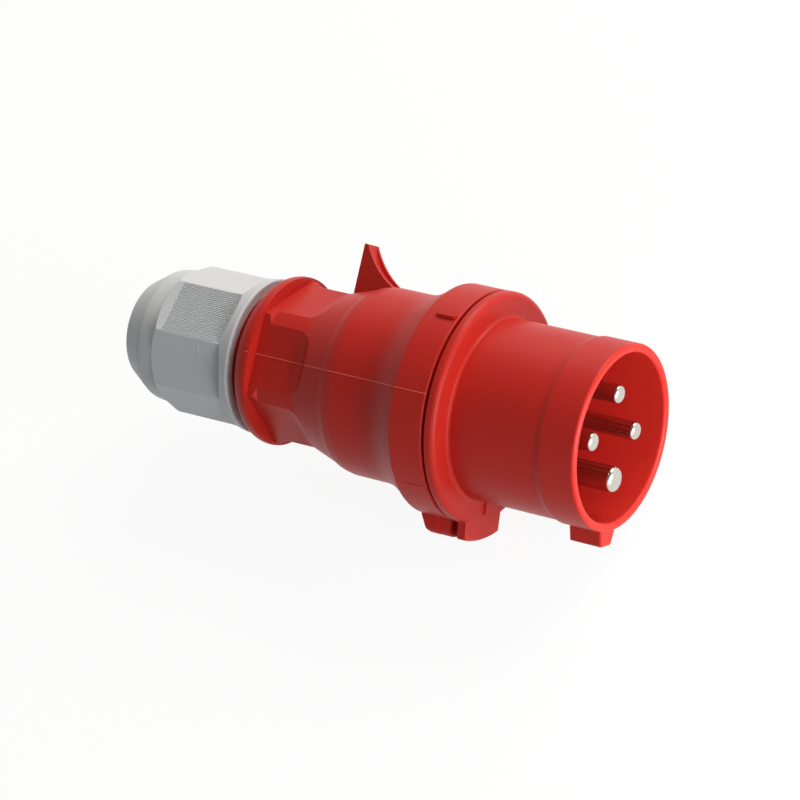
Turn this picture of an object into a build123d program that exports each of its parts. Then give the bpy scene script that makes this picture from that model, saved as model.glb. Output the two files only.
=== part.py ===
"""Industrial pin and sleeve plug, 16 A, three phases and earth, with a twist-on cable gland.

Millimetres. +X runs along the plug towards its contacts, +Z is up, and the origin lies on the
axis at the floor of the sleeve, level with the flange's front face. The plug lies as it comes to
rest on a table: on the rim of its flange, on one corner of the lug under it and on its nut.
"""
from build123d import *
from math import acos, asin, cos, degrees, hypot, pi, radians, sin, sqrt, tan
import os

# Fits between pieces
slide_fit = 0.1
screw_fit = 0.05
free_fit = 0.3

# Sleeve and flange
sleeve_length = 37.9
sleeve_radius = 24.3
sleeve_wall = 1.9
sleeve_root_round = 1.0
band_height = 0.5
band_length = 10.3
band_step = 1.8
lip_round = 0.95
flange_radius = 31.0
flange_thickness = 2.8
flange_round = 1.7
spigot_length = 10.6
spigot_wall = 2.0

# Key under the sleeve's mouth
key_height = 4.2
key_width = 8.0
key_tip_width = 5.2
key_tip_round = 1.0
key_front_round = 0.7
key_setback = 1.0

# Ridge on the flange, in line with the key
ridge_width = 1.2
ridge_length = 4.2
ridge_height = 0.5

# Lugs of the closure: the flange's in front, the handle's behind it
lug_height = 4.4
lug_width = 16.7
lug_spread = 0.2
lug_taper = 5.2
lug_sink = 4.0
front_lug_round = 0.9
front_lug_bevel = 0.5
back_lug_round = 2.2
lug_step_places = (5.3, 8.6)
lug_step_depths = (0.6, 3.5)
lug_slope_length = 1.7
lug_slope_height = 3.5
lug_crown_length = 1.8
lug_crown_height = 1.1

# Latch between the lugs
latch_width = 6.0
latch_thickness = 1.4
latch_length = 5.4
latch_hook_length = 2.4
latch_lift = 3.4

# Handle
housing_gap = 1.1
handle_wall = 2.35
ring_inset = 0.1
ring_length = 10.3
ring_front_round = 0.5
ring_back_round = 0.75
ring_wall = 2.2
waist_drop = 0.8
barrel_radius = 25.55
barrel_front = 22.4
barrel_back = 36.0
barrel_front_round = 16.0
barrel_back_round = 6.0
shoulder_drop = 0.45
shoulder_length = 2.4
shoulder_round = 2.2
step_drop = 1.0
step_length = 2.2
step_round = 2.6
grip_radius = 21.1
grip_flat_depth = 1.84
grip_front = 50.2
grip_back = 64.3
grip_sides = 6
grip_run_setback = 2.2
grip_run_radius = 6.7
grip_run_angle = 56.0
bead_front = 61.6
bead_width = 7.2
bead_height = 2.0
neck_radius = 16.4
neck_length = 19.2
thread_height = 0.8
neck_end_round = 0.8
neck_root_radius = 17.8
neck_root_length = 4.2
mark_height = 0.9
mark_width = 1.9
mark_length = 6.1
mark_setback = 0.7
mark_turn = 47.5

# Hook on the handle's back
hook_back = 48.8
hook_rise = 9.5
hook_tip = 1.0
hook_width = 5.7
hook_sag = 1.25
hook_rim = 0.95
hook_dish = 0.9

# Gland nut
nut_gap = 2.7
nut_rim_height = 1.1
nut_rim_length = 4.1
nut_flare = 3.0
nut_radius = 20.3
nut_flat_depth = 1.45
nut_sides = 8
nut_body_length = 25.0
nut_end_drop = 1.6
nut_end_length = 1.5
nut_taper_length = 5.1
nut_waist_radius = 18.05
nut_dome_length = 6.9
nut_dome_radius = 13.8
nut_crown_length = 1.7
nut_mouth_wall = 3.0
nut_mouth_depth = 4.0
nut_bore_length = 19.4
nut_edge_round = 0.5
cable_hole = 8.5
cable_hole_length = 8.6
cable_hole_wall = 2.7
grip_rib_pitch = 0.52
grip_rib_depth = 0.22
grip_panel_length = 19.0
grip_panel_margin = 0.15
pawl_width = 6.0
pawl_slot = 1.4
pawl_thickness = 0.7
pawl_length = 2.8

# Inside the gland
seal_radius = 12.5
seal_bore = 8.8
seal_length = 15.8
seal_lip = 0.9
seal_lip_length = 1.6
cage_radius = 15.5
cage_bore = 10.6
cage_ring = 2.0
cage_fingers = 8
cage_clearance = 3.0
cage_finger_root = 2.1
cage_finger_tip = 1.2
cage_slot_width = 1.8
washer_width = 1.9
washer_thickness = 1.5
washer_bore_step = 0.4

# Contacts
pin_circle = 11.14
phase_radius = 2.5
earth_radius = 3.5
phase_setback = 1.8
earth_setback = 0.2
tip_share = 0.4
shank_step = 0.25
collar_step = 1.7
collar_length = 3.0
terminal_step = 0.8
terminal_length = 11.0
phase_wire = 1.9
earth_wire = 2.4
wire_depth = 9.0
phase_screw = 1.35
earth_screw = 1.6
screw_stand = 0.8
screw_head_share = 1.75
screw_head_height = 1.6
slot_width = 0.7
slot_depth = 0.8
clamp_share = 0.7
clamp_thickness = 0.5
clamp_margin = 1.0

# Contact carrier, its cover and their screws
carrier_radius = 19.2
carrier_length = 11.2
carrier_edge = 0.8
cover_thickness = 2.6
boss_circle = 15.2
boss_turn = 45.0
boss_radius = 2.6
boss_length = 6.6
boss_screw = 1.4
boss_screw_bite = 5.4
boss_screw_head = 2.0

# Rubber ring between the housings
ring_groove_place = 3.6
ring_groove_width = 2.2
ring_groove_depth = 1.3
ring_seal_round = 0.45

# Radii that follow from others
band_radius = sleeve_radius + band_height
sleeve_bore = sleeve_radius - sleeve_wall
key_reach = band_radius + key_height
lug_reach = flange_radius + lug_height
ring_radius = flange_radius - ring_inset
ring_bore = ring_radius - ring_wall
waist_radius = ring_radius - waist_drop
spigot_radius = ring_bore - free_fit
spigot_bore = spigot_radius - spigot_wall
shoulder_radius = barrel_radius - shoulder_drop
step_radius = shoulder_radius - step_drop
grip_flat = grip_radius - grip_flat_depth
hook_height = barrel_radius + hook_rise
seal_seat = seal_radius + slide_fit
nut_bore = neck_radius + thread_height + slide_fit
nut_flat = nut_radius - nut_flat_depth
nut_rim_radius = nut_radius + nut_rim_height
nut_mouth_radius = nut_rim_radius - nut_mouth_wall
washer_seat = cable_hole + washer_width

# Turns about the axis, from upright. The flange's rim and one corner of the front lug are equally
# low, so that the plug lies on both. The closure holds the handle a little back from the front.
closure_turn = 13.0
nut_lag = 23.2
front_turn = -degrees(acos(flange_radius / lug_reach) + asin(lug_width / 2 / lug_reach))
handle_turn = front_turn - closure_turn
nut_turn = handle_turn - nut_lag

# Places along the axis
floor_back = -flange_thickness
spigot_back = floor_back - spigot_length
ring_front = floor_back - housing_gap
ring_back = ring_front - ring_length
shoulder_back = -barrel_back - shoulder_length
step_back = shoulder_back - step_length
neck_front = -bead_front - bead_width
neck_root_back = neck_front - neck_root_length
neck_back = neck_front - neck_length
seal_front = neck_back + seal_length + 2 * slide_fit
nut_front = neck_front - nut_gap
nut_body_back = nut_front - nut_body_length
nut_end_back = nut_body_back - nut_end_length
nut_taper_back = nut_end_back - nut_taper_length
nut_dome_back = nut_taper_back - nut_dome_length
nut_back = nut_dome_back - nut_crown_length
hole_front = nut_back + cable_hole_length
washer_front = hole_front + washer_thickness
finger_front = neck_back - cage_ring
finger_back = washer_front + cage_clearance
carrier_back = floor_back - carrier_length
cover_back = carrier_back - cover_thickness
terminal_back = cover_back - terminal_length
screw_place = terminal_back + wire_depth / 2
latch_back = floor_back - latch_length

# Places, sideways and up, as seen with the key below
pin_places = {
    "l1": (-pin_circle, 0),
    "l2": (0, pin_circle),
    "l3": (pin_circle, 0),
    "earth": (0, -pin_circle),
}
boss_side = boss_circle * sin(radians(boss_turn))
boss_up = boss_circle * cos(radians(boss_turn))
boss_places = [(boss_side, boss_up), (-boss_side, -boss_up)]


def across(x, turn=0.0):
    """The plane square to the axis at x, turned about the axis, with its own Y as up."""
    t = radians(turn)
    return Plane(origin=(x, 0, 0), x_dir=(0, cos(t), sin(t)), z_dir=(1, 0, 0))


def along(turn=0.0):
    """The plane that holds the axis, with its X along the axis and its Y turned from up."""
    t = radians(turn)
    return Plane(origin=(0, 0, 0), x_dir=(1, 0, 0), z_dir=(0, -cos(t), -sin(t)))


def from_axis(place):
    return hypot(place.Y, place.Z)


def facing(turn, height):
    """The plane at a height over the axis that faces away from it, with its X along the axis."""
    t = radians(turn)
    outwards = Vector(0, -sin(t), cos(t))
    return Plane(origin=outwards * height, x_dir=(1, 0, 0), z_dir=outwards)


def round_corners(sketch, rounds):
    """Round each corner of a profile, given by its place in the sketch, by its own radius."""
    for place, radius in rounds:
        fillet(sketch.vertices().sort_by_distance((*place, 0))[0], radius)


def sagged(start, end, sag):
    """The middle of an arc from start to end that lies to the right of their line by sag."""
    run = end[0] - start[0]
    rise = end[1] - start[1]
    length = hypot(run, rise)
    middle_x = (start[0] + end[0]) / 2 + sag * rise / length
    middle_y = (start[1] + end[1]) / 2 - sag * run / length
    return (middle_x, middle_y)


def lug_outline(inset):
    """A lug below the axis: tapered sides, each set in by inset, and room for a round end."""
    half = lug_width / 2 - inset
    corner = sqrt(lug_reach**2 - half**2)
    return [
        (-half, lug_sink - flange_radius),
        (-half - lug_spread, lug_taper - corner),
        (-half + lug_spread, -lug_taper - corner),
        (half - lug_spread, -lug_taper - corner),
        (half + lug_spread, lug_taper - corner),
        (half, lug_sink - flange_radius),
    ]


def pick(name, phase_value, earth_value):
    """The value for a phase contact or for the earth contact."""
    return earth_value if name == "earth" else phase_value


def pin_radius(name):
    return pick(name, phase_radius, earth_radius)


def wire_radius(name):
    return pick(name, phase_wire, earth_wire)


def screw_radius(name):
    return pick(name, phase_screw, earth_screw)


def shank_radius(name):
    return pin_radius(name) + shank_step


def terminal_radius(name):
    return pin_radius(name) + terminal_step


def collar_radius(name):
    return pin_radius(name) + collar_step


def clamp_top(name):
    """Height of a wire clamp's upper face over its contact's axis."""
    return wire_radius(name) * clamp_share


def contact_plane(name):
    """The plane that holds a contact's axis, with its Y pointing away from the plug's axis."""
    centre = across(0, front_turn).from_local_coords(pin_places[name])
    outwards = centre.normalized()
    return Plane(origin=centre, x_dir=(1, 0, 0), z_dir=Vector(1, 0, 0).cross(outwards))


def screw_plane(name, height):
    """The plane square to a terminal screw, at a height over its contact's axis."""
    plane = contact_plane(name)
    centre = plane.from_local_coords((screw_place, height, 0))
    return Plane(origin=centre, x_dir=(1, 0, 0), z_dir=plane.y_dir)


os.makedirs("parts", exist_ok=True)

# Sleeve housing: sleeve, floor, flange, spigot, key, front lug and latch, moulded as one
with BuildPart() as sleeve_housing:
    with BuildSketch() as outline:
        with BuildLine():
            Polyline(
                (0, 0),
                (0, sleeve_bore),
                (sleeve_length, sleeve_bore),
                (sleeve_length, band_radius),
                (sleeve_length - band_length, band_radius),
                (sleeve_length - band_length - band_step, sleeve_radius),
                (0, sleeve_radius),
                (0, flange_radius),
                (floor_back, flange_radius),
                (floor_back, spigot_radius),
                (spigot_back, spigot_radius),
                (spigot_back, spigot_bore),
                (floor_back, spigot_bore),
                (floor_back, 0),
                close=True,
            )
        make_face()
        round_corners(
            outline,
            [
                ((sleeve_length, sleeve_bore), lip_round),
                ((sleeve_length, band_radius), lip_round),
                ((0, flange_radius), flange_round),
                ((0, sleeve_radius), sleeve_root_round),
            ],
        )
    revolve(axis=Axis.X)
    # groove for the rubber ring
    with BuildSketch():
        with Locations((floor_back - ring_groove_place, spigot_radius)):
            Rectangle(
                ring_groove_width,
                2 * ring_groove_depth,
                align=(Align.MAX, Align.CENTER),
            )
    revolve(axis=Axis.X, mode=Mode.SUBTRACT)
    # front lug, in the flange's own plane, its face edged by a bevel
    lug_layers = [
        (floor_back, flange_thickness - front_lug_bevel, 0),
        (-front_lug_bevel, front_lug_bevel, 45),
    ]
    for layer_back, layer_depth, layer_taper in lug_layers:
        with BuildSketch(across(layer_back, front_turn)) as front_lug:
            with BuildLine():
                Polyline(*lug_outline(0), close=True)
            make_face()
            Circle(lug_reach, mode=Mode.INTERSECT)
            fillet(front_lug.vertices().group_by(Axis.Y)[0], front_lug_round)
        extrude(amount=layer_depth, taper=layer_taper)
    # key
    with BuildSketch(across(sleeve_length - band_length, front_turn)) as key_shape:
        with BuildLine():
            Polyline(
                (-key_width / 2, lip_round - band_radius),
                (-key_tip_width / 2, -key_reach),
                (key_tip_width / 2, -key_reach),
                (key_width / 2, lip_round - band_radius),
                close=True,
            )
        make_face()
        fillet(key_shape.vertices().group_by(Axis.Y)[0], key_tip_round)
    extrude(amount=band_length - key_setback)
    key_edges = sleeve_housing.edges(Select.LAST).group_by(Axis.X)[-1]
    key_edges = key_edges.filter_by(lambda e: from_axis(e.center()) > band_radius + lip_round)
    fillet(key_edges, key_front_round)
    # ridge
    with BuildSketch(across(0, front_turn)):
        with Locations((0, -sleeve_radius)):
            Rectangle(ridge_width, ridge_length, align=(Align.CENTER, Align.MAX))
    extrude(amount=ridge_height)
    # latch tongue with its hook
    tongue_top = spigot_radius + latch_lift
    hook_front = latch_back + latch_hook_length
    with BuildSketch(along(front_turn + 180)):
        with BuildLine():
            Polyline(
                (floor_back, tongue_top - latch_thickness),
                (floor_back, tongue_top),
                (hook_front, tongue_top),
                (hook_front, tongue_top + latch_thickness / 2),
                (latch_back, tongue_top + latch_thickness / 2),
                (latch_back, tongue_top - latch_thickness),
                close=True,
            )
        make_face()
    extrude(amount=latch_width / 2, both=True)
    # bosses for the carrier's screws
    with BuildSketch(across(floor_back, front_turn)):
        with Locations(*boss_places):
            Circle(boss_radius)
    extrude(amount=-boss_length)
    with BuildSketch(across(floor_back - boss_length, front_turn)):
        with Locations(*boss_places):
            Circle(boss_screw + screw_fit)
    extrude(amount=boss_length, mode=Mode.SUBTRACT)
    # holes for the contacts
    for contact, place in pin_places.items():
        with BuildSketch(across(floor_back, front_turn)):
            with Locations(place):
                Circle(shank_radius(contact) + slide_fit)
        extrude(amount=flange_thickness, mode=Mode.SUBTRACT)
sleeve_housing.part.label = "sleeve_housing"
export_step(sleeve_housing.part, "parts/sleeve_housing.step")

# Handle housing: ring, barrel, cone, six-sided grip, bead, neck, hook and back lug, as one
with BuildPart() as handle_housing:
    with BuildSketch() as outline:
        with BuildLine():
            Polyline(
                (ring_front, ring_bore),
                (ring_front, ring_radius),
                (ring_back, ring_radius),
                (ring_back, waist_radius),
                (-barrel_front, barrel_radius),
                (-barrel_back, barrel_radius),
                (shoulder_back, shoulder_radius),
                (step_back, step_radius),
                (-grip_front, grip_radius),
                (neck_front, grip_radius),
                (neck_front, neck_root_radius),
                (neck_root_back, neck_root_radius),
                (neck_root_back, neck_radius),
                (neck_back, neck_radius),
                (neck_back, seal_seat),
                (seal_front, seal_seat),
                (seal_front, cage_bore),
                (-bead_front - bead_width / 2, cage_bore),
                (-grip_front, grip_flat - handle_wall),
                (step_back, step_radius - handle_wall),
                (-barrel_back, barrel_radius - handle_wall),
                (-barrel_front, barrel_radius - handle_wall),
                (spigot_back, spigot_bore + free_fit),
                (spigot_back, ring_bore),
                close=True,
            )
        make_face()
        round_corners(
            outline,
            [
                ((ring_front, ring_radius), ring_front_round),
                ((ring_back, ring_radius), ring_back_round),
                ((-barrel_front, barrel_radius), barrel_front_round),
                ((-barrel_back, barrel_radius), barrel_back_round),
                ((shoulder_back, shoulder_radius), shoulder_round),
                ((step_back, step_radius), step_round),
                ((neck_back, neck_radius), neck_end_round),
            ],
        )
    revolve(axis=Axis.X)
    # bead behind the grip
    with BuildSketch():
        with BuildLine():
            ThreePointArc(
                (-bead_front, grip_radius),
                (-bead_front - bead_width / 2, grip_radius + bead_height),
                (neck_front, grip_radius),
            )
            Polyline(
                (neck_front, grip_radius),
                (neck_front, neck_root_radius),
                (-bead_front, neck_root_radius),
                (-bead_front, grip_radius),
            )
        make_face()
    revolve(axis=Axis.X)
    # flats of the grip, each run out upwards into the cone by an arc and cut into the bead
    run_start = -grip_front - grip_run_setback
    run_end = run_start + grip_run_radius * sin(radians(grip_run_angle))
    run_top = grip_flat + grip_run_radius * (1 - cos(radians(grip_run_angle)))
    for side in range(grip_sides):
        with BuildSketch(along(handle_turn + 90 + side * 360 / grip_sides)):
            with BuildLine():
                CenterArc((run_start, grip_flat + grip_run_radius), grip_run_radius, 270, grip_run_angle)
                Polyline(
                    (run_end, run_top),
                    (run_end, barrel_radius + slide_fit),
                    (-grip_back, barrel_radius + slide_fit),
                    (-grip_back, grip_flat),
                    (run_start, grip_flat),
                )
            make_face()
        extrude(amount=barrel_radius * tan(pi / grip_sides), both=True, mode=Mode.SUBTRACT)
    # hook, with a dished front between two rims
    hook_top = (-hook_back + hook_tip, hook_height)
    hook_foot = (-barrel_back - hook_tip / 2, barrel_radius - 2 * shoulder_drop)
    with BuildSketch(along(handle_turn)):
        with BuildLine():
            ThreePointArc(hook_top, sagged(hook_top, hook_foot, hook_sag), hook_foot)
            Polyline(
                hook_foot,
                (-barrel_back - hook_tip / 2, barrel_radius - handle_wall),
                (-hook_back, grip_radius - handle_wall / 4),
                (-hook_back, hook_height),
                hook_top,
            )
        make_face()
    extrude(amount=hook_width / 2, both=True)
    with BuildSketch(along(handle_turn)):
        with BuildLine():
            ThreePointArc(
                hook_top,
                sagged(hook_top, hook_foot, hook_sag + hook_dish),
                hook_foot,
            )
            ThreePointArc(
                hook_foot,
                sagged(hook_top, hook_foot, hook_sag - hook_dish),
                hook_top,
            )
        make_face()
    extrude(amount=hook_width / 2 - hook_rim, both=True, mode=Mode.SUBTRACT)
    # back lug, with sides that step in towards the front lug
    lug_places = (0.0, *lug_step_places, ring_length)
    lug_insets = (0.0, *lug_step_depths)
    for place, end, inset in zip(lug_places, lug_places[1:], lug_insets):
        with BuildSketch(across(ring_back + place, front_turn)) as back_lug:
            with BuildLine():
                Polyline(*lug_outline(inset), close=True)
            make_face()
            Circle(lug_reach, mode=Mode.INTERSECT)
            fillet(back_lug.vertices().group_by(Axis.Y)[0], back_lug_round)
            Circle(ring_bore + slide_fit, mode=Mode.SUBTRACT)
        extrude(amount=end - place)
    # slope at the back of that lug, easing off at its crown
    slope_foot = ring_radius + free_fit
    slope_top = slope_foot + lug_slope_height
    slope_end = ring_back + lug_slope_length
    with BuildSketch():
        with BuildLine():
            Polyline(
                (ring_back, slope_foot),
                (slope_end, slope_top),
                (slope_end + lug_crown_length, slope_top + lug_crown_height),
                (ring_back, slope_top + lug_crown_height),
                close=True,
            )
        make_face()
    revolve(axis=Axis.X, mode=Mode.SUBTRACT)
    # pocket that takes the latch
    with BuildSketch(across(latch_back - free_fit, front_turn)):
        with Locations((0, -spigot_radius - latch_lift + latch_thickness + free_fit)):
            Rectangle(
                latch_width + 2 * free_fit,
                1.5 * latch_thickness + 2 * free_fit,
                align=(Align.CENTER, Align.MAX),
            )
    extrude(amount=latch_length + 2 * free_fit, mode=Mode.SUBTRACT)
    # raised mark on the ring, with round ends
    with BuildSketch(facing(handle_turn + mark_turn, ring_radius - mark_height)):
        with Locations((ring_front - mark_setback - mark_length / 2, 0)):
            SlotOverall(mark_length, mark_width)
    extrude(amount=2 * mark_height)
handle_housing.part.label = "handle_housing"
export_step(handle_housing.part, "parts/handle_housing.step")

# Gland nut: round rim, eight flats, waist and dome with the cable's hole
nut_end_corner = (nut_end_back, nut_radius - nut_end_drop)
nut_waist_corner = (nut_taper_back, nut_waist_radius)
nut_dome_corner = (nut_dome_back, nut_dome_radius)
nut_hole_corner = (nut_back, cable_hole + cable_hole_wall)
with BuildPart() as gland_nut:
    with BuildSketch() as outline:
        with BuildLine():
            Polyline(
                (nut_front, nut_mouth_radius),
                (nut_front, nut_rim_radius),
                (nut_front - nut_rim_length, nut_radius + nut_rim_length / 20),
                (nut_front - nut_rim_length - nut_flare, nut_radius),
                (nut_body_back, nut_radius),
                nut_end_corner,
                nut_waist_corner,
                nut_dome_corner,
                nut_hole_corner,
                (nut_back, cable_hole),
                (hole_front, cable_hole),
                (hole_front, washer_seat),
                (washer_front, washer_seat),
                (nut_front - nut_bore_length, nut_bore),
                (nut_front - nut_mouth_depth, nut_bore),
                (nut_front - nut_mouth_depth, nut_mouth_radius),
                close=True,
            )
        make_face()
        round_corners(
            outline,
            [
                ((nut_front, nut_rim_radius), nut_edge_round),
                ((nut_body_back, nut_radius), nut_edge_round),
                (nut_end_corner, 2 * nut_edge_round),
                (nut_waist_corner, 8 * nut_edge_round),
                (nut_dome_corner, 4 * nut_edge_round),
                (nut_hole_corner, 2 * nut_edge_round),
                ((nut_back, cable_hole), nut_edge_round),
            ],
        )
    revolve(axis=Axis.X)
    # flats, each run out upwards into the rim
    rim_back = nut_front - nut_rim_length
    for side in range(nut_sides):
        with BuildSketch(along(nut_turn + side * 360 / nut_sides)):
            with BuildLine():
                Polyline(
                    (nut_back, nut_flat),
                    (rim_back, nut_flat),
                    (rim_back + nut_rim_length / 2, nut_rim_radius + slide_fit),
                    (nut_back, nut_rim_radius + slide_fit),
                    close=True,
                )
            make_face()
        extrude(amount=nut_rim_radius * tan(pi / nut_sides), both=True, mode=Mode.SUBTRACT)
    # fine ribs along two opposite flats
    panel_back = rim_back - grip_panel_margin - grip_panel_length
    facet_width = 2 * nut_flat * tan(pi / nut_sides)
    rib_count = int((facet_width - 2 * grip_panel_margin) / grip_rib_pitch)
    for side in (90, 270):
        with BuildSketch(across(panel_back, nut_turn + side)):
            with Locations((0, nut_flat)):
                with GridLocations(grip_rib_pitch, 1, rib_count, 1):
                    Rectangle(grip_rib_pitch / 2, 2 * grip_rib_depth)
        extrude(amount=grip_panel_length, mode=Mode.SUBTRACT)
    # two spring pawls in the mouth, each a thin wall before its own slot
    for side in (nut_lag, nut_lag + 180):
        with BuildSketch(across(nut_front, nut_turn + side)):
            with Locations((0, nut_mouth_radius)):
                Rectangle(pawl_width, 2 * pawl_slot)
                Rectangle(
                    pawl_width,
                    pawl_thickness,
                    align=(Align.CENTER, Align.MIN),
                    mode=Mode.SUBTRACT,
                )
        extrude(amount=-pawl_length, mode=Mode.SUBTRACT)
gland_nut.part.label = "gland_nut"
export_step(gland_nut.part, "parts/gland_nut.step")

# Slip washer: lies in the nut, pushes the clamp's fingers and doesn't turn with the nut
with BuildPart() as slip_washer:
    with BuildSketch():
        with Locations((hole_front, cable_hole + washer_bore_step)):
            Rectangle(
                washer_thickness,
                washer_width - washer_bore_step - slide_fit,
                align=(Align.MIN, Align.MIN),
            )
    revolve(axis=Axis.X)
slip_washer.part.label = "slip_washer"
export_step(slip_washer.part, "parts/slip_washer.step")

# Clamp cage: a ring on the neck's end, with fingers that close on the cable
with BuildPart() as clamp_cage:
    with BuildSketch():
        with BuildLine():
            Polyline(
                (neck_back, cage_bore),
                (neck_back, cage_radius),
                (finger_front, cage_radius),
                (finger_front, cage_bore + cage_finger_root),
                (finger_back, cable_hole + free_fit + cage_finger_tip),
                (finger_back, cable_hole + free_fit),
                (finger_front, cage_bore),
                close=True,
            )
        make_face()
    revolve(axis=Axis.X)
    with BuildSketch(across(finger_front)):
        with PolarLocations(cage_radius / 2, cage_fingers, start_angle=180 / cage_fingers):
            Rectangle(cage_radius, cage_slot_width)
    extrude(amount=finger_back - finger_front, mode=Mode.SUBTRACT)
clamp_cage.part.label = "clamp_cage"
export_step(clamp_cage.part, "parts/clamp_cage.step")

# Gland seal: rubber bush in the neck, with two lips on the cable
with BuildPart() as gland_seal:
    with BuildSketch():
        with Locations((seal_front, seal_bore)):
            Rectangle(seal_length, seal_radius - seal_bore, align=(Align.MAX, Align.MIN))
        with Locations(
            (seal_front - seal_length / 4, seal_bore),
            (seal_front - 3 * seal_length / 4, seal_bore),
        ):
            Triangle(a=seal_lip_length, b=seal_lip_length, c=seal_lip_length, rotation=180)
    revolve(axis=Axis.X)
gland_seal.part.label = "gland_seal"
export_step(gland_seal.part, "parts/gland_seal.step")

# Housing seal: rubber ring between the two housings
with BuildPart() as housing_seal:
    with BuildSketch() as ring_section:
        with Locations(
            (
                floor_back - ring_groove_place - slide_fit,
                spigot_radius - ring_groove_depth + screw_fit,
            )
        ):
            Rectangle(
                ring_groove_width - 2 * slide_fit,
                ring_groove_depth + free_fit - 2 * screw_fit,
                align=(Align.MAX, Align.MIN),
            )
        fillet(ring_section.vertices(), ring_seal_round)
    revolve(axis=Axis.X)
housing_seal.part.label = "housing_seal"
export_step(housing_seal.part, "parts/housing_seal.step")

# Contact carrier behind the floor of the sleeve
with BuildPart() as contact_carrier:
    with BuildSketch(across(floor_back, front_turn)):
        Circle(carrier_radius)
        with Locations(*boss_places):
            Circle(boss_screw + slide_fit, mode=Mode.SUBTRACT)
        for contact, place in pin_places.items():
            with Locations(place):
                Circle(shank_radius(contact) + slide_fit, mode=Mode.SUBTRACT)
    extrude(amount=-carrier_length)
    with BuildSketch(across(floor_back, front_turn)):
        with Locations(*boss_places):
            Circle(boss_radius + slide_fit)
    extrude(amount=-boss_length - slide_fit, mode=Mode.SUBTRACT)
    for contact, place in pin_places.items():
        with BuildSketch(across(carrier_back, front_turn)):
            with Locations(place):
                Circle(collar_radius(contact) + slide_fit)
        extrude(amount=collar_length, mode=Mode.SUBTRACT)
    rims = contact_carrier.edges().filter_by(GeomType.CIRCLE).sort_by(SortBy.RADIUS)
    chamfer(rims[-1], carrier_edge)
contact_carrier.part.label = "contact_carrier"
export_step(contact_carrier.part, "parts/contact_carrier.step")

# Carrier cover: holds the contacts' collars in the carrier
with BuildPart() as carrier_cover:
    with BuildSketch(across(carrier_back, front_turn)):
        Circle(carrier_radius)
        with Locations(*boss_places):
            Circle(boss_screw + slide_fit, mode=Mode.SUBTRACT)
        for contact, place in pin_places.items():
            with Locations(place):
                Circle(terminal_radius(contact) + slide_fit, mode=Mode.SUBTRACT)
    extrude(amount=-cover_thickness)
carrier_cover.part.label = "carrier_cover"
export_step(carrier_cover.part, "parts/carrier_cover.step")

# Screws through cover and carrier into the floor's bosses
with BuildPart() as carrier_screws:
    with BuildSketch(across(floor_back - boss_length + boss_screw_bite, front_turn)):
        with Locations(*boss_places):
            Circle(boss_screw)
    extrude(amount=cover_back - floor_back + boss_length - boss_screw_bite)
    with BuildSketch(across(cover_back, front_turn)):
        with Locations(*boss_places):
            Circle(2 * boss_screw)
    extrude(amount=-boss_screw_head)
    with BuildSketch(across(cover_back - boss_screw_head, front_turn)):
        with Locations(*boss_places):
            Rectangle(5 * boss_screw, slot_width)
    extrude(amount=slot_depth, mode=Mode.SUBTRACT)
carrier_screws.part.label = "carrier_screws"
export_step(carrier_screws.part, "parts/carrier_screws.step")

# Turned contacts: rounded tip, shaft, shank in the floor, collar in the carrier and screw terminal
for contact in pin_places:
    plane = contact_plane(contact)
    radius = pin_radius(contact)
    tip = sleeve_length - pick(contact, phase_setback, earth_setback)
    lower_half = Plane(origin=plane.origin, x_dir=(1, 0, 0), z_dir=-plane.z_dir)
    with BuildPart() as pin:
        with BuildSketch(lower_half) as section:
            with BuildLine():
                Polyline(
                    (tip, 0),
                    (tip, radius),
                    (0, radius),
                    (0, shank_radius(contact)),
                    (carrier_back + collar_length, shank_radius(contact)),
                    (carrier_back + collar_length, collar_radius(contact)),
                    (carrier_back, collar_radius(contact)),
                    (carrier_back, terminal_radius(contact)),
                    (terminal_back, terminal_radius(contact)),
                    (terminal_back, wire_radius(contact)),
                    (terminal_back + wire_depth, wire_radius(contact)),
                    (terminal_back + wire_depth, 0),
                    close=True,
                )
            make_face()
            round_corners(section, [((tip, radius), radius * tip_share)])
        revolve(axis=Axis(plane.origin, (1, 0, 0)))
        with BuildSketch(screw_plane(contact, 0)):
            Circle(screw_radius(contact) + screw_fit)
        extrude(amount=collar_radius(contact), mode=Mode.SUBTRACT)
    pin.part.label = f"pin_{contact}"
    export_step(pin.part, f"parts/pin_{contact}.step")

# Wire clamps: plates under the terminal screws that press on the wires
for contact in pin_places:
    half_width = sqrt(wire_radius(contact) ** 2 - clamp_top(contact) ** 2) - slide_fit
    with BuildPart() as wire_clamp:
        with BuildSketch(contact_plane(contact)):
            with Locations((screw_place, clamp_top(contact))):
                Rectangle(
                    wire_depth - 2 * clamp_margin,
                    clamp_thickness,
                    align=(Align.CENTER, Align.MAX),
                )
        extrude(amount=half_width, both=True)
    wire_clamp.part.label = f"wire_clamp_{contact}"
    export_step(wire_clamp.part, f"parts/wire_clamp_{contact}.step")

# Slotted terminal screws
screw_groups = {
    "phase_terminal_screws": ["l1", "l2", "l3"],
    "earth_terminal_screw": ["earth"],
}
for group, contacts in screw_groups.items():
    with BuildPart() as terminal_screws:
        for contact in contacts:
            screw = screw_radius(contact)
            seat = terminal_radius(contact) + screw_stand
            with BuildSketch(screw_plane(contact, clamp_top(contact))):
                Circle(screw)
            extrude(amount=seat - clamp_top(contact))
            with BuildSketch(screw_plane(contact, seat)):
                Circle(screw_head_share * screw)
            extrude(amount=screw_head_height)
            with BuildSketch(screw_plane(contact, seat + screw_head_height)):
                Rectangle(4 * screw, slot_width)
            extrude(amount=-slot_depth, mode=Mode.SUBTRACT)
    terminal_screws.part.label = group
    export_step(terminal_screws.part, f"parts/{group}.step")
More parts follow.
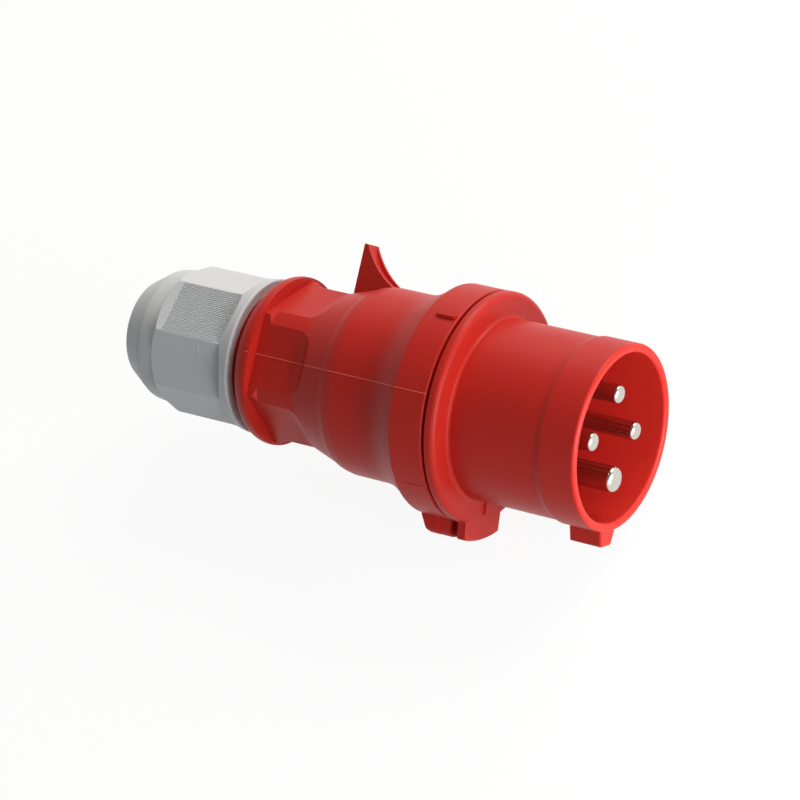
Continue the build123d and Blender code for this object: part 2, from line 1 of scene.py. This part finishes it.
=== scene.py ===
# %% [markdown]
# # An industrial pin and sleeve plug
#
# The solids of this plug come from its CAD model, so each piece already has its real shape and its
# real place. This lesson gives them their looks: a camera and a studio first, then one material
# for each real one, then the moulded marks and the thread, which are too fine for the solids.
# Blender works in metres here, with +X along the plug towards its contacts and +Z up.

# %% Load the frame
from math import cos, pi, radians, sin

import bmesh
import bpy
from mathutils import Matrix, Vector


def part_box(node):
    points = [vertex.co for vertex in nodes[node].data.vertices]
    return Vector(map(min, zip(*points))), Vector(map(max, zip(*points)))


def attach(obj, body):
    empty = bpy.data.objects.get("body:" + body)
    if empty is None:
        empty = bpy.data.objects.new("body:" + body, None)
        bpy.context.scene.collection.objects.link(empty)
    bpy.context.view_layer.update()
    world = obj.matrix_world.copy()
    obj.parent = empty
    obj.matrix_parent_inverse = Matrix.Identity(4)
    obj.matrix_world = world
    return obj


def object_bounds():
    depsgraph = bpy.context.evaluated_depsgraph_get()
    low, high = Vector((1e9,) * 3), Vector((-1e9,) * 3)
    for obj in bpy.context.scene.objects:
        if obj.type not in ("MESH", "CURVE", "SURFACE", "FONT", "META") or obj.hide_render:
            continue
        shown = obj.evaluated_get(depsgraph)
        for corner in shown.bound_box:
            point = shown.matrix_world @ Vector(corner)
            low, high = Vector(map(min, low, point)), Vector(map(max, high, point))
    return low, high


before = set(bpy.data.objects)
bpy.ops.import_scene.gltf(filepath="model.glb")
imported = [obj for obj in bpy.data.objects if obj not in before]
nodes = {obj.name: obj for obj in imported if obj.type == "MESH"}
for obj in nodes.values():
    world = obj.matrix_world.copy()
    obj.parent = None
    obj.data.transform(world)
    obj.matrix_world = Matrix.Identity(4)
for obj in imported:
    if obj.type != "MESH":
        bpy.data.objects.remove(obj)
cad_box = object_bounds()
mm = 0.001
print("nodes:", len(nodes))
print("box in mm:", [[round(v / mm, 1) for v in corner] for corner in cad_box])

# %% [markdown]
# ## Places that the details share
#
# The front housing, the handle and the gland nut are each turned about the plug's axis. The turns
# are kept here as degrees from upright, so that a mark can be placed on the piece that it belongs
# to. A direction across the axis is then a sine and a cosine. Places are in millimetres.

# %% Turns and places
front_turn = -42.51
closure_turn = 13.0
nut_lag = 23.2
handle_turn = front_turn - closure_turn
nut_turn = handle_turn - nut_lag
ring_front = -3.9
ring_radius = 30.9
neck_radius = 16.4
nut_bore = 17.3
nut_flat = 18.85
floor_height = cad_box[0][2]


def outward(turn):
    """The direction across the axis that is turned from up by this many degrees."""
    return Vector((0, -sin(radians(turn)), cos(radians(turn))))


print("floor at", round(floor_height / mm, 2), "mm")
print("hook towards", outward(handle_turn).to_tuple(2))

# %% [markdown]
# ## Camera
#
# The photograph was taken with a long lens, which keeps the sleeve's circles nearly even in size
# from front to back. The camera looks down at the plug as it lies on the table, and it is rolled a
# little, so that the plug slopes down to the right.

# %% Camera
camera_azimuth = radians(46.75)
camera_elevation = radians(45.84)
camera_roll = radians(-24.07)
camera_place = Vector((508.0, -508.19, 757.48)) * mm

camera = bpy.data.objects.new("camera", bpy.data.cameras.new("camera"))
camera.data.sensor_width = 36
camera.data.lens = 180
camera.data.clip_end = 20
camera.matrix_world = (
    Matrix.Translation(camera_place)
    @ Matrix.Rotation(camera_azimuth, 4, "Z")
    @ Matrix.Rotation(pi / 2 - camera_elevation, 4, "X")
    @ Matrix.Rotation(camera_roll, 4, "Z")
)
bpy.context.scene.collection.objects.link(camera)
bpy.context.scene.camera = camera
print("camera at", round(camera_place.length, 3), "m from the origin")

# %% [markdown]
# ## Colours and nodes
#
# A paint chart gives colours as sRGB hex, while the shader wants linear light, so one function
# turns one into the other. A second one adds any node with its settings and links. The rest are the
# few kinds of node that every material below needs, with patterns sized in millimetres.


# %% Helpers for materials
def linear(hex_colour):
    """An sRGB hex colour as the linear RGBA that a shader takes."""
    channels = [int(hex_colour[i:i + 2], 16) / 255 for i in (1, 3, 5)]
    return [c / 12.92 if c <= 0.04045 else ((c + 0.055) / 1.055) ** 2.4 for c in channels] + [1]


def add_node(tree, kind, inputs=None, **settings):
    """Add a node, set its properties, and set or link its inputs by name or number."""
    node = tree.nodes.new(kind)
    for name, value in settings.items():
        setattr(node, name, value)
    for name, value in (inputs or {}).items():
        if isinstance(value, bpy.types.NodeSocket):
            tree.links.new(value, node.inputs[name])
        else:
            node.inputs[name].default_value = value
    return node


def per_metre(size):
    """The texture scale that gives a pattern of this size in millimetres."""
    return 1 / (size * mm)


def noise(tree, place, size, detail):
    """Soft noise with blots of this size in millimetres."""
    inputs = {"Vector": place, "Scale": per_metre(size), "Detail": detail}
    return add_node(tree, "ShaderNodeTexNoise", inputs).outputs["Fac"]


def spread(tree, value, low, high):
    """A value from 0 to 1, spread between low and high."""
    inputs = {"Value": value, "To Min": low, "To Max": high}
    return add_node(tree, "ShaderNodeMapRange", inputs).outputs[0]


def mix_colours(tree, factor, first, second):
    """The first hex colour where the factor is 0, and the second where it is 1."""
    inputs = {0: factor, 6: linear(first), 7: linear(second)}
    return add_node(tree, "ShaderNodeMix", inputs, data_type="RGBA").outputs[2]


def mix_shaders(tree, factor, first, second):
    """The first shader where the factor is 0, and the second where it is 1."""
    inputs = {0: factor, 1: first.outputs[0], 2: second.outputs[0]}
    return add_node(tree, "ShaderNodeMixShader", inputs).outputs[0]


def new_material(name):
    """An empty material with its output, and the socket that carries places on the piece."""
    material = bpy.data.materials.new(name)
    material.use_nodes = True
    tree = material.node_tree
    tree.nodes.clear()
    output = add_node(tree, "ShaderNodeOutputMaterial")
    place = add_node(tree, "ShaderNodeTexCoord").outputs["Object"]
    return material, tree, output, place


print("mid grey is", round(linear("#808080")[0], 3), "in linear light")

# %% [markdown]
# ## Studio
#
# The plug lies on a white table under a dim ceiling. What the camera, a reflection or glass sees of
# the table is mostly its own plain white, and the rest is the light that falls on it, which keeps a
# soft shadow under the plug. As a source of light, the table is only grey.
#
# Four lamps light the plug itself. A long box over it, slightly warm, gives the pale band along its
# top. One before the contacts lights the flange and the sleeve. A small near one on the left fades
# towards the cable's end, so that the cone and the nut's dome turn darker. The fourth, small and
# close to the mouth, lights the sleeve's inside and its rim, but nothing behind them.

# %% Table
table_radius = 3.0
table_sides = 96
table_white_share = 0.92
full_white = (1, 1, 1, 1)


def white_to_see(tree):
    """One where a ray comes from the camera, a reflection or through glass, and zero elsewhere."""
    path = add_node(tree, "ShaderNodeLightPath").outputs
    seen = path["Is Camera Ray"]
    for ray in ("Is Glossy Ray", "Is Transmission Ray"):
        seen = add_node(tree, "ShaderNodeMath", {0: seen, 1: path[ray]}, operation="MAXIMUM").outputs[0]
    return seen


table, tree, output, _ = new_material("white laminate table")
paper_tone = mix_colours(tree, white_to_see(tree), "#b4b4b4", "#fbfbfb")
paper = add_node(tree, "ShaderNodeBsdfDiffuse", {"Color": paper_tone})
white = add_node(tree, "ShaderNodeEmission", {"Color": full_white, "Strength": 1.0})
share = add_node(tree, "ShaderNodeMath", {0: white_to_see(tree), 1: table_white_share}, operation="MULTIPLY")
tree.links.new(mix_shaders(tree, share.outputs[0], paper, white), output.inputs["Surface"])

top = bmesh.new()
bmesh.ops.create_circle(top, cap_ends=True, segments=table_sides, radius=table_radius)
bmesh.ops.translate(top, verts=top.verts, vec=(0, 0, floor_height))
mesh = bpy.data.meshes.new("table")
top.to_mesh(mesh)
top.free()
floor = bpy.data.objects.new("table", mesh)
floor.data.materials.append(table)
bpy.context.scene.collection.objects.link(floor)
print("table of", table_radius, "m")

# %% World
# The room is white up to 20 degrees over the horizon and dims to a grey ceiling at 50 degrees. As
# light on matt surfaces it is one even, weak glow.
room_light = 0.2
ceiling_light = 0.2
wall_top = sin(radians(20))
ceiling_edge = sin(radians(50))
world = bpy.data.worlds.new("white room")
bpy.context.scene.world = world
world.use_nodes = True
tree = world.node_tree
tree.nodes.clear()
direction = add_node(tree, "ShaderNodeTexCoord").outputs["Generated"]
height = add_node(tree, "ShaderNodeSeparateXYZ", {0: direction}).outputs["Z"]
heights = {"Value": height, "From Min": wall_top, "From Max": ceiling_edge}
levels = {"To Min": 1.0, "To Max": ceiling_light}
fade = add_node(tree, "ShaderNodeMapRange", heights | levels, interpolation_type="SMOOTHSTEP")
glow = add_node(tree, "ShaderNodeBackground", {"Color": full_white, "Strength": room_light})
room = add_node(tree, "ShaderNodeBackground", {"Color": full_white, "Strength": fade.outputs[0]})
seen_room = mix_shaders(tree, white_to_see(tree), glow, room)
add_node(tree, "ShaderNodeOutputWorld", {"Surface": seen_room})
print("room light", room_light)

# %% Lamps
plug_middle = Vector((-0.03, 0, 0))
neutral = (1, 1, 1)
warm = (1, 0.95, 0.88)


def softbox(name, direction, distance, size, power, colour):
    """A rectangular lamp, in metres and watts, in this direction from the plug's middle."""
    lamp = bpy.data.objects.new(name, bpy.data.lights.new(name, "AREA"))
    lamp.data.shape = "RECTANGLE"
    lamp.data.size, lamp.data.size_y = size
    lamp.data.energy = power
    lamp.data.color = colour
    lamp.visible_camera = False
    lamp.location = plug_middle + Vector(direction).normalized() * distance
    lamp.rotation_euler = Vector(direction).to_track_quat("Z", "Y").to_euler()
    bpy.context.scene.collection.objects.link(lamp)
    print(name, power, "W")


softbox("box over the plug", (0.15, 0.75, 0.65), 0.9, (0.9, 0.5), 8.4, warm)
softbox("box before the contacts", (0.95, -0.15, 0.3), 0.9, (0.6, 0.6), 3.9, neutral)
softbox("near box on the left", (0.95, -0.45, 0.1), 0.35, (0.25, 0.25), 0.5, neutral)
softbox("small box before the mouth", (1, 0, 0), 0.16, (0.02, 0.02), 0.1, neutral)

# %% [markdown]
# ## Moulded plastics
#
# Both housings are moulded polyamide, coloured through in the red that marks a 400 V plug. The
# mould's polished steel leaves a semi-gloss skin, so lamps show as soft, wide highlights, a little
# uneven where the wall has shrunk. That is a slow noise in the bump, a fine grain over it, and a
# drift in colour and gloss. The other plastics and the rubber are made the same way, each with its
# own colours, roughness and grain.

# %% Sizes of the plastic's patterns
# Blots of colour, of gloss, of shrinking and of grain, and how deep the skin shrinks, in mm. The
# gloss swings by its spread to both sides of a plastic's roughness.
colour_blot = 45
gloss_blot = 9
shrink_blot = 22
grain_blot = 0.35
shrink_depth = 0.12
gloss_spread = 0.05


def moulded_plastic(name, colour, deep_colour, roughness, grain_depth, shine=0.3):
    """Coloured-through plastic from a steel mould, with slow waves, a fine grain and uneven gloss."""
    material, tree, output, place = new_material(name)
    tint = mix_colours(tree, noise(tree, place, colour_blot, 3), colour, deep_colour)
    sheen = noise(tree, place, gloss_blot, 4)
    gloss = spread(tree, sheen, roughness - gloss_spread, roughness + gloss_spread)
    shrink = {"Height": noise(tree, place, shrink_blot, 1), "Distance": shrink_depth * mm}
    waves = add_node(tree, "ShaderNodeBump", {"Strength": 1.0, **shrink}).outputs[0]
    spark = {"Height": noise(tree, place, grain_blot, 2), "Distance": grain_depth * mm}
    grain = add_node(tree, "ShaderNodeBump", {"Strength": 1.0, **spark, "Normal": waves}).outputs[0]
    skin = add_node(
        tree, "ShaderNodeBsdfPrincipled",
        {
            "Base Color": tint,
            "Roughness": gloss,
            "IOR": 1.5,
            "Specular IOR Level": shine,
            "Normal": grain,
        },
    )
    tree.links.new(skin.outputs[0], output.inputs["Surface"])
    return material


# %% Plastics and rubber
# The housings' red, which turns slightly darker in slow blots and shines softly.
red_polyamide = moulded_plastic("red moulded polyamide", "#c22a21", "#b7251d", 0.42, 0.006, 0.2)
# The same red, painted paler as a highlight for the thin raised parting line at the mould's edge, and
# duller.
painted_highlight_red = moulded_plastic(
    "red polyamide, painted paler as a highlight", "#dc6354", "#d35a4c", 0.45, 0.004, 0.18,
)
# The nut's light grey, more matt than the housings.
grey_polyamide = moulded_plastic("grey moulded polyamide", "#d4d6d8", "#cccfd2", 0.46, 0.008)
# The contact carrier's dark grey, nearly black inside the closed plug.
dark_polyamide = moulded_plastic("dark grey moulded polyamide", "#3a3b3d", "#333436", 0.5, 0.008)
# The cable clamp's plastic without any dye, a milky off-white.
plain_polyamide = moulded_plastic("natural polyamide", "#d9d4c4", "#d1ccbb", 0.48, 0.006)
# The seals' black rubber, which hardly shines.
black_rubber = moulded_plastic("black moulded rubber", "#1b1b1c", "#232324", 0.68, 0.012)
plastics = [red_polyamide, painted_highlight_red, grey_polyamide, dark_polyamide, plain_polyamide, black_rubber]
print("plastics:", [material.name for material in plastics])

# %% [markdown]
# ## Metals
#
# The contacts are turned from brass and nickel-plated, so they are bright and slightly warm, with
# the lathe's fine rings round their own axis. Screws and clamp plates are zinc-plated steel, a
# duller metal with a faintly patchy skin.

# %% Turned and plated metal
# The lathe's rings and the patches of the plating, in mm, and how much the patches change the gloss.
ring_pitch = 0.25
ring_depth = 0.002
ring_strength = 0.25
ring_wobble = 0.3
wave_factor = 20  # the wave texture multiplies its scale by this
patch_size = 3
patch_smoother = 0.04
patch_duller = 0.06


def turned_metal(name, colour, roughness, axis_place):
    """Plated metal with the lathe's rings about an axis along X through this place, in mm."""
    material, tree, output, place = new_material(name)
    to_axis = (0, -axis_place[0] * mm, -axis_place[1] * mm)
    centred = add_node(tree, "ShaderNodeMapping", {"Vector": place, "Location": to_axis}).outputs[0]
    patches = noise(tree, place, patch_size, 3)
    gloss = spread(tree, patches, roughness - patch_smoother, roughness + patch_duller)
    ring_scale = per_metre(ring_pitch) / wave_factor
    rings = add_node(
        tree, "ShaderNodeTexWave",
        {"Vector": centred, "Scale": ring_scale, "Distortion": ring_wobble, "Detail": 1},
        wave_type="RINGS", rings_direction="X",
    ).outputs["Fac"]
    cut = {"Height": rings, "Strength": ring_strength, "Distance": ring_depth * mm}
    grooves = add_node(tree, "ShaderNodeBump", cut).outputs[0]
    metal = add_node(
        tree, "ShaderNodeBsdfPrincipled",
        {"Base Color": linear(colour), "Metallic": 1.0, "Roughness": gloss, "Normal": grooves},
    )
    tree.links.new(metal.outputs[0], output.inputs["Surface"])
    return material


def node_centre(name):
    """The middle of a node across the plug's axis, in mm."""
    low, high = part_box(name)
    return ((low.y + high.y) / 2 / mm, (low.z + high.z) / 2 / mm)


# %% Metals
# Each contact's nickel has its rings about that contact's own axis, bright and slightly warm.
contacts = ["l1", "l2", "l3", "earth"]
nickel = {}
for contact in contacts:
    centre = node_centre(f"pin_{contact}")
    nickel[contact] = turned_metal(f"nickel-plated brass, turned, {contact}", "#cfcac1", 0.18, centre)
    print("contact", contact, "is turned about", [round(v, 2) for v in centre])
# The screws' zinc is duller and cooler.
zinc = turned_metal("zinc-plated steel", "#b9bab6", 0.34, (0, 0))

# %% Materials on the solids
finishes = {
    "sleeve_housing": red_polyamide,
    "handle_housing": red_polyamide,
    "gland_nut": grey_polyamide,
    "slip_washer": plain_polyamide,
    "clamp_cage": plain_polyamide,
    "gland_seal": black_rubber,
    "housing_seal": black_rubber,
    "contact_carrier": dark_polyamide,
    "carrier_cover": dark_polyamide,
    "carrier_screws": zinc,
    "phase_terminal_screws": zinc,
    "earth_terminal_screw": zinc,
}
finishes.update({f"pin_{contact}": nickel[contact] for contact in contacts})
finishes.update({f"wire_clamp_{contact}": zinc for contact in contacts})
for name, material in finishes.items():
    slots = nodes[name].data.materials
    slots.clear()
    slots.append(material)
print("finished nodes:", len(finishes), "of", len(nodes))

# %% [markdown]
# ## Parting line
#
# The handle comes out of a mould of two halves, and they leave a thin raised line along its sides,
# where a trace of plastic has crept between them. Cutting a copy of the handle with the mould's
# plane gives that line exactly where the surface is, over every step and flat. The cut's edges are
# then extruded round a small three-sided section, which is sunk into the wall by its lower edges.


# %% Pieces from a bmesh
def finish_piece(name, shape, material, body):
    """Turn a bmesh into an object that has this finish and rides on this body."""
    mesh = bpy.data.meshes.new(name)
    shape.to_mesh(mesh)
    open_edges = sum(not edge.is_manifold for edge in shape.edges)
    shape.free()
    piece = bpy.data.objects.new(name, mesh)
    mesh.materials.append(material)
    bpy.context.scene.collection.objects.link(piece)
    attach(piece, body)
    print(name, "faces:", len(mesh.polygons), "open edges:", open_edges)


def verts_of(geometry):
    """The vertices among the parts that a bmesh operator gives back."""
    return [part for part in geometry if isinstance(part, bmesh.types.BMVert)]


def edges_of(geometry):
    """The edges among the parts that a bmesh operator gives back."""
    return [part for part in geometry if isinstance(part, bmesh.types.BMEdge)]


# %% Cut the line from a node
# Distances under which points count as one, and how far a face has to look outwards to be skin.
weld_distance = 0.002 * mm
cut_distance = 0.0001 * mm
seam_distance = 0.001 * mm
least_outward = 0.1


def skin_cut(source, turn, x_range):
    """The line where the plane through the axis meets the outside of a node, on one side of it."""
    line = bmesh.new()
    line.from_mesh(source.data)
    bmesh.ops.remove_doubles(line, verts=line.verts, dist=weld_distance)
    line.normal_update()
    side = outward(turn)
    cut = bmesh.ops.bisect_plane(
        line, geom=line.verts[:] + line.edges[:] + line.faces[:], dist=cut_distance,
        plane_co=(0, 0, 0), plane_no=Vector((1, 0, 0)).cross(side),
    )["geom_cut"]
    back, front = (x * mm for x in x_range)
    skin = set()
    for edge in edges_of(cut):
        in_range = all(back < v.co.x < front and v.co.dot(side) > 0 for v in edge.verts)
        faces_out = all(face.normal.dot(side) > least_outward for face in edge.link_faces)
        if in_range and faces_out:
            skin.add(edge)
    bmesh.ops.delete(line, geom=[e for e in line.edges if e not in skin], context="EDGES")
    bmesh.ops.delete(line, geom=[v for v in line.verts if not v.link_edges], context="VERTS")
    return line


def mould_line(name, source, turn, x_range, width, height, material, body):
    """A raised line of this width and height, in mm, along the outside of a node."""
    line = skin_cut(source, turn, x_range)
    up = outward(turn) * height * mm
    left = Vector((1, 0, 0)).cross(outward(turn)) * (width / 2) * mm
    edges = line.edges[:]
    for step in (left - 2 * up, -2 * left, left + 2 * up):
        grown = bmesh.ops.extrude_edge_only(line, edges=edges)["geom"]
        verts = verts_of(grown)
        edges = [edge for edge in edges_of(grown) if all(v in verts for v in edge.verts)]
        bmesh.ops.translate(line, verts=verts, vec=step)
    bmesh.ops.translate(line, verts=line.verts, vec=up)
    bmesh.ops.remove_doubles(line, verts=line.verts, dist=seam_distance)
    bmesh.ops.holes_fill(line, edges=line.edges)
    bmesh.ops.recalc_face_normals(line, faces=line.faces)
    finish_piece(name, line, material, body)


# %% Parting line on both sides of the handle
line_width = 0.42
line_height = 0.1
handle_range = (-65.3, ring_front)
# The line's paler red is a painted highlight along its ridge.
for side, turn in (("near", 90), ("far", -90)):
    mould_line(
        f"parting_line_{side}", nodes["handle_housing"], handle_turn + turn, handle_range,
        line_width, line_height, painted_highlight_red, "housing",
    )

# %% [markdown]
# ## Fine marks
#
# A mould leaves more small traces. The ring carries a faint raised line where two inserts of the
# mould met, and the nut has a short fine bar across one flat. Both are a small block with its edges
# beveled, sunk halfway into the wall.

# %% Raised bars
bevel_share = 0.4


def raised_bar(name, place, turn, size, along_axis, material, body):
    """A rounded bar at a place along, beside and over the axis, then turned, all sizes in mm."""
    length, width, height = (v * mm for v in size)
    bar = bmesh.new()
    bmesh.ops.create_cube(bar, size=1)
    bmesh.ops.scale(bar, verts=bar.verts, vec=(length, width, 2 * height))
    bmesh.ops.bevel(
        bar, geom=bar.edges, offset=bevel_share * min(width, 2 * height), segments=3, profile=0.5,
        affect="EDGES", material=-1,
    )
    quarter_turn = 0 if along_axis else pi / 2
    moves = (
        Matrix.Rotation(radians(turn), 4, "X")
        @ Matrix.Translation(Vector(place) * mm)
        @ Matrix.Rotation(quarter_turn, 4, "Z")
    )
    bmesh.ops.transform(bar, matrix=moves, verts=bar.verts)
    finish_piece(name, bar, material, body)


raised_bar(
    "ring_line", (-7.85, 0, ring_radius), handle_turn + 140, (5.9, 0.5, 0.12), True,
    red_polyamide, "housing",
)
raised_bar(
    "nut_line", (-82.4, 4.43, nut_flat), nut_turn + 135, (3.4, 0.35, 0.1), False,
    grey_polyamide, "nut",
)

# %% [markdown]
# ## Gland thread
#
# The nut runs on the neck by a coarse right-hand thread, which shows when it is unscrewed. One
# section of the ridge, spun about the axis and moved on by the pitch each turn, makes the whole
# helix. The nut has its own ridge half a pitch away, so that the two pass each other freely. At
# both ends the ridge runs out into the wall.

# %% Thread ridges
thread_start = -86.2
thread_pitch = 3.0
thread_steps = 48
neck_thread_turns = 4
nut_thread_turns = 3.5
ridge_root_width = 1.9
ridge_crest_width = 0.7
ridge_sink = 0.1
neck_ridge_height = 0.7
nut_ridge_height = 0.65
run_out_share = 0.15


def thread_ridge(name, start, turns, root, crest, material, body):
    """A helical ridge from x = start, in mm, between its root in the wall and its crest."""
    ridge = bmesh.new()
    corners = [
        (-ridge_root_width / 2, root),
        (-ridge_crest_width / 2, crest),
        (ridge_crest_width / 2, crest),
        (ridge_root_width / 2, root),
    ]
    section = ridge.faces.new([ridge.verts.new(((start + x) * mm, 0, r * mm)) for x, r in corners])
    first = section.verts[:]
    spun = bmesh.ops.spin(
        ridge, geom=[section, *section.edges, *first], cent=(0, 0, 0), axis=(1, 0, 0),
        dvec=(thread_pitch * mm / thread_steps, 0, 0),
        angle=2 * pi * turns, steps=round(turns * thread_steps),
        use_merge=False, use_duplicate=False,
    )["geom_last"]
    run_out = root + (crest - root) * run_out_share
    for vert in first + verts_of(spun):
        reach = Vector((0, vert.co.y, vert.co.z)).length / mm
        if abs(reach - crest) < abs(reach - root):
            vert.co.y *= run_out / reach
            vert.co.z *= run_out / reach
    bmesh.ops.recalc_face_normals(ridge, faces=ridge.faces)
    finish_piece(name, ridge, material, body)


thread_ridge(
    "neck_thread", thread_start, neck_thread_turns,
    neck_radius - ridge_sink, neck_radius + neck_ridge_height,
    red_polyamide, "housing",
)
thread_ridge(
    "nut_thread", thread_start - thread_pitch / 2, nut_thread_turns,
    nut_bore + ridge_sink, nut_bore - nut_ridge_height,
    grey_polyamide, "nut",
)

# %% View transform
bpy.context.scene.view_settings.view_transform = "Standard"
